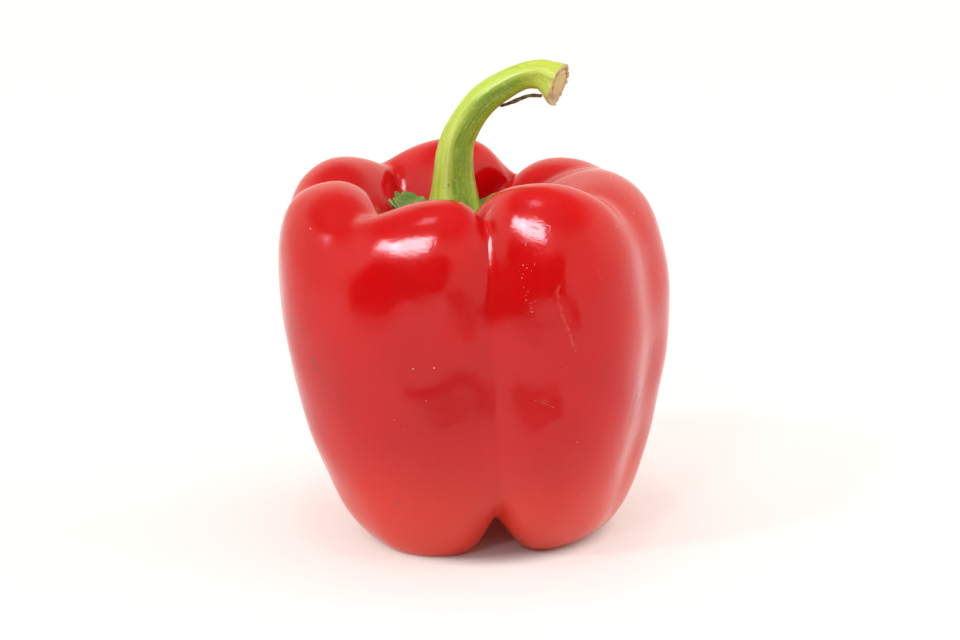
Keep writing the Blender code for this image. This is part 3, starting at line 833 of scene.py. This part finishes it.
studio = {
    "floorSize": 6, "floorUnder": 0.00003,      # m, half its width and how far it lies under the feet
    "floorColour": "#A2A09E", "floorRoughness": 0.6, "floorShine": 0.2,
    # painted light that the board glows with: colour in the open and under the feet, where it is dark
    # red-brown as painted shade and red bounce light, and the x of their middle in m
    "floorGlow": "#C0B0A7", "feetShadeAndRedBounce": "#4A100B", "feetAt": 0.002,
    "feetReach": (0.0235, 0.031),   # m, the glow rises between these distances from it
    "worldColour": "#FFEADC", "wallLight": 1.14, "ceilingLight": 0.35,
    "wallTop": 0.5, "ceilingFrom": 0.8,     # heights on the sky's dome
    "lampColour": "#E8F2FF", "lampsAim": 0.05,  # m above the table
    # lamps that cast light and shadows: bearing and height in degrees, distance and size in m, floor light
    "lamps": [(-56, 44, 4, 0.42, 0.23), (-24, 40, 4, 0.4, 0.13), (-15, 80, 3, 0.16, 0.12),
              (0, 86, 3, 3, 0.76), (-135, 80, 3, 0.2, 0.03), (175, 72, 3.5, 0.37, 0.03),
              (-95, 25, 3, 2.4, 0.09), (95, 25, 3, 2.4, 0.27)],
    # bright windows and diffusers, seen only as gloss: bearing, height, distance, width, its height, radiance
    "glows": [(-48, 42, 1, 0.42, 0.24, 24), (-16, 43, 1, 0.54, 0.3, 24), (-30, 82, 1, 0.2, 0.2, 5)],
    # the dark room behind the camera, seen only as gloss: bearing, distance in m, half width in degrees,
    # height of its foot at the left and the right and of its top in m
    "darkRoom": [(-15, 0.31, 42, 0.004, 0.034, 0.235), (32, 0.36, 5, 0, 0, 0.04)],
    # the shaded gap in front of the table, seen only as gloss: x and y limits and height in m
    "tableGap": (-0.036, 0.046, -0.103, -0.088, 0.0002), "gapColour": "#5A524E",
}

cameraView = {
    "distance": 520, "elevation": 16, "aim": (1.26, 0, 48.46),  # mm, degrees, mm
    "lens": 85, "sensor": 36, "nearest": 0.02,  # mm, mm, m
}


def directionOf(bearing, elevation):
    # from the object towards the viewer's side: bearing 0 is the camera's, positive to the right
    b, e = math.radians(bearing), math.radians(elevation)
    return Vector((math.sin(b) * math.cos(e), -math.cos(b) * math.cos(e), math.sin(e)))


def tableBoard():
    # matt white paint with a painted glow: an even bright ground in the open; near the feet's middle the glow
    # is dim and red-brown, painted shade and red bounce light
    material, tree, shader = newMaterial("white table board, matt paint, painted glow")
    place = addNode(tree, "TexCoord")["Object"]
    away = addNode(tree, "VectorMath", "DISTANCE", {1: (studio["feetAt"], 0, 0)}, {0: place})
    near, far = studio["feetReach"]
    glow = addNode(tree, "MapRange", smooth, {"From Min": near, "From Max": far}, {"Value": away["Value"]})
    paintedGlow = addNode(tree, "ValToRGB", None, None, {"Fac": glow[0]})
    fillRamp(paintedGlow, [(0.0, studio["feetShadeAndRedBounce"]), (1.0, studio["floorGlow"])])
    tree.links.new(paintedGlow["Color"], shader.inputs["Emission Color"])
    setInputs(shader, {"Base Color": linearColour(studio["floorColour"]), "Emission Strength": 1,
                       "Roughness": studio["floorRoughness"], "Specular IOR Level": studio["floorShine"]})
    return material


def glosslessPaint(name, colour):
    # no shine of its own, so a card of it only darkens what the skin mirrors
    material, _, shader = newMaterial(name)
    setInputs(shader, {"Base Color": linearColour(colour), "Specular IOR Level": 0})
    return material


def makeBoard(name, corners, material):
    # a flat four-cornered board
    mesh = bpy.data.meshes.new(name)
    mesh.from_pydata(corners, [], [(0, 1, 2, 3)])
    mesh.materials.append(material)
    board = bpy.data.objects.new(name, mesh)
    bpy.context.scene.collection.objects.link(board)
    return board


def makeCard(name, corners, material):
    # a board that only reflections see
    card = makeBoard(name, corners, material)
    card.visible_camera = False
    card.visible_shadow = False
    card.visible_diffuse = False


def makeStage():
    # the table top, the dark room as upright cards of half width distance * tan(angle), the table's gap
    size, under = studio["floorSize"], -studio["floorUnder"]
    corners = [(-size, -size, under), (size, -size, under), (size, size, under), (-size, size, under)]
    floor = makeBoard("tableTop", corners, tableBoard())
    unlit = glosslessPaint("unlit room", "#000000")
    for bearing, distance, halfWidth, leftFoot, rightFoot, top in studio["darkRoom"]:
        away = directionOf(bearing, 0)
        reach = Vector((-away.y, away.x, 0)) * distance * math.tan(math.radians(halfWidth))
        left, right = away * distance - reach, away * distance + reach
        high = Vector((0, 0, top))
        feet = [left + Vector((0, 0, leftFoot)), right + Vector((0, 0, rightFoot))]
        makeCard("darkRoom", feet + [right + high, left + high], unlit)
    x0, x1, y0, y1, z = studio["tableGap"]
    shaded = glosslessPaint("shaded table edge", studio["gapColour"])
    makeCard("tableGap", [(x0, y0, z), (x1, y0, z), (x1, y1, z), (x0, y1, z)], shaded)


def addLight(name, bearing, elevation, distance, width, height, power):
    # a rectangular lamp at the distance in the given direction, facing the middle of the pepper
    data = bpy.data.lights.new(name, "AREA")
    data.shape = "RECTANGLE"
    data.size = width
    data.size_y = height
    data.energy = power
    data.color = linearColour(studio["lampColour"])[:3]
    light = bpy.data.objects.new(name, data)
    direction = directionOf(bearing, elevation)
    light.location = Vector((0, 0, studio["lampsAim"])) + direction * distance
    light.rotation_euler = direction.to_track_quat("Z", "Y").to_euler()
    bpy.context.scene.collection.objects.link(light)
    return light


def makeSky():
    # white walls all round and a dimmer ceiling: the light falls smoothly from the wall's top to the ceiling
    world = bpy.data.worlds.new("white studio")
    bpy.context.scene.world = world
    world.use_nodes = True
    tree = world.node_tree
    sky = tree.nodes["Background"]
    setInputs(sky, {"Color": linearColour(studio["worldColour"])})
    place = addNode(tree, "TexCoord")["Generated"]
    height = addNode(tree, "SeparateXYZ", None, None, {0: place})["Z"]
    strength = addNode(tree, "MapRange", smooth,
                       {"From Min": studio["wallTop"], "From Max": studio["ceilingFrom"],
                        "To Min": studio["wallLight"], "To Max": studio["ceilingLight"]}, {"Value": height})
    tree.links.new(strength[0], sky.inputs["Strength"])


def makeLights():
    # the lamps that light the pepper, then the windows that it only mirrors
    for bearing, elevation, distance, size, share in studio["lamps"]:
        # power that gives a white floor that share of its brightness: pi^2 * share * d^2 / sin(height)
        power = math.pi**2 * share * distance**2 / math.sin(math.radians(elevation))
        lamp = addLight("lamp", bearing, elevation, distance, size, size, power)
        lamp.visible_glossy = False
    for bearing, elevation, distance, width, height, radiance in studio["glows"]:
        power = radiance * math.pi * width * height     # of a flat source: radiance * pi * area
        glow = addLight("glow", bearing, elevation, distance, width, height, power)
        glow.visible_diffuse = False


def makeCamera():
    # at the distance from the aim in the direction of the elevation, looking back at it
    view = cameraView
    aim = (Vector(view["aim"]) + Vector(centring)) * mm
    direction = directionOf(0, view["elevation"])
    data = bpy.data.cameras.new("camera")
    data.lens = view["lens"]
    data.sensor_width = view["sensor"]
    data.clip_start = view["nearest"]
    camera = bpy.data.objects.new("camera", data)
    camera.location = aim + direction * view["distance"] * mm
    camera.rotation_euler = direction.to_track_quat("Z", "Y").to_euler()
    bpy.context.scene.collection.objects.link(camera)
    bpy.context.scene.camera = camera


makeStage()
makeSky()
makeLights()
makeCamera()
bpy.context.scene.view_settings.view_transform = "Standard"
print("studio made")
